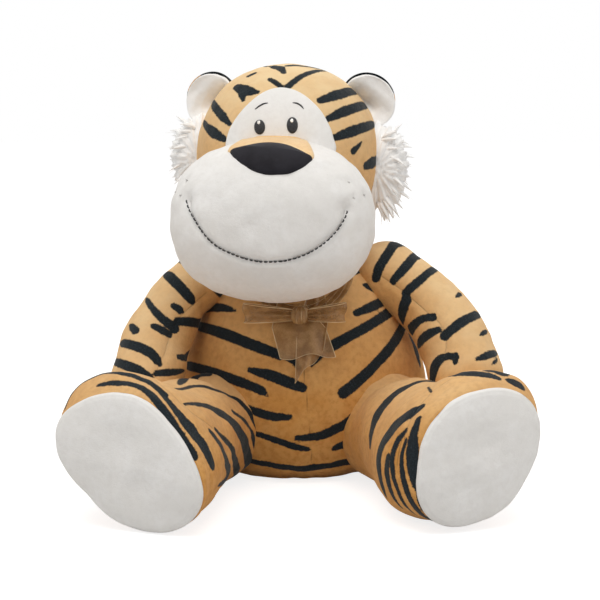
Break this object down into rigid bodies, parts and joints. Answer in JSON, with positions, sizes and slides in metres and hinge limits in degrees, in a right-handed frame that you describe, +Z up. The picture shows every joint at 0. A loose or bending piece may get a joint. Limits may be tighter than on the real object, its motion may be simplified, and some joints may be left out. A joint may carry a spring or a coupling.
{
  "type": "stuffed toy tiger",
  "caption": "Sitting stuffed tiger of striped plush with a round white muzzle, turned-up feet, cheek fur and a sheer neck bow; head, arms, legs and tail move.",
  "frame": {"origin": "middle of the torso's flat seat, on the surface that the toy sits on", "axes": "+Z up, -Y the way the toy faces, +X towards the toy's own left arm"},
  "size_m": [0.3016, 0.3033, 0.2745],
  "materials": {
    "tan_plush": "short pile plush, tan printed with near-black stripes",
    "white_plush": "fine short pile plush, white",
    "white_fur": "long pile fur cloth, white",
    "black_satin": "smooth satin, black",
    "dark_thread": "embroidery thread, near black",
    "organza": "sheer stiff ribbon, tan, with shiny hems",
    "stuffing": "white polyester fibre",
    "bag_cloth": "plain woven cloth filled with plastic pellets"
  },
  "bodies": {
    "torso": {"torso_cover": "tan_plush", "torso_filling": "stuffing", "pellet_bag": "bag_cloth", "ribbon_band": "organza", "bow_knot": "organza", "bow_loop_left": "organza", "bow_loop_right": "organza", "bow_tail_left": "organza", "bow_tail_right": "organza"},
    "neck": {"neck_filling": "stuffing"},
    "head": {"head_cover": "tan_plush", "head_filling": "stuffing", "muzzle_cover": "white_plush", "muzzle_filling": "stuffing", "face_mask": "white_plush", "nose_bridge": "tan_plush", "nose": "black_satin", "smile_stitch": "dark_thread", "eye_left": "dark_thread", "brow_left": "dark_thread", "ear_back_left": "tan_plush", "ear_lining_left": "white_plush", "cheek_tuft_left": "white_fur", "whisker_stitch_left_1": "dark_thread", "whisker_stitch_left_2": "dark_thread", "whisker_stitch_left_3": "dark_thread", "eye_right": "dark_thread", "brow_right": "dark_thread", "ear_back_right": "tan_plush", "ear_lining_right": "white_plush", "cheek_tuft_right": "white_fur", "whisker_stitch_right_1": "dark_thread", "whisker_stitch_right_2": "dark_thread", "whisker_stitch_right_3": "dark_thread"},
    "arm_left": {"arm_cover_left": "tan_plush", "arm_filling_left": "stuffing"},
    "leg_left": {"leg_cover_left": "tan_plush", "leg_filling_left": "stuffing", "sole_left": "white_plush"},
    "arm_right": {"arm_cover_right": "tan_plush", "arm_filling_right": "stuffing"},
    "leg_right": {"leg_cover_right": "tan_plush", "leg_filling_right": "stuffing", "sole_right": "white_plush"},
    "tail": {"tail_cover": "tan_plush", "tail_filling": "stuffing"}
  },
  "joints": [
    {"name": "neck_turn", "type": "hinge", "parent": "torso", "child": "neck", "pos_m": [-0.0075, 0, 0.163], "axis": [0, 0, 1], "range_deg": [-12, 28], "stiffness_Nm_per_rad": 0.05},
    {"name": "head_nod", "type": "hinge", "parent": "neck", "child": "head", "pos_m": [-0.0075, 0, 0.163], "axis": [-0.9903, 0.1392, 0], "range_deg": [0, 12]},
    {"name": "arm_left_lift", "type": "hinge", "parent": "torso", "child": "arm_left", "pos_m": [0.05909, -0.00385, 0.13228], "axis": [0, -1, 0], "range_deg": [0, 28]},
    {"name": "arm_right_lift", "type": "hinge", "parent": "torso", "child": "arm_right", "pos_m": [-0.05909, -0.00385, 0.13228], "axis": [0, 1, 0], "range_deg": [0, 38]},
    {"name": "leg_left_swing", "type": "hinge", "parent": "torso", "child": "leg_left", "pos_m": [0.05925, -0.0464, 0.0355], "axis": [0, 0, -1], "range_deg": [0, 12]},
    {"name": "leg_right_swing", "type": "hinge", "parent": "torso", "child": "leg_right", "pos_m": [-0.05925, -0.0464, 0.0355], "axis": [0, 0, 1], "range_deg": [0, 12]},
    {"name": "tail_swing", "type": "hinge", "parent": "torso", "child": "tail", "pos_m": [0, 0.06519, 0.01], "axis": [0, 0, 1], "range_deg": [-30, 30]}
  ]
}
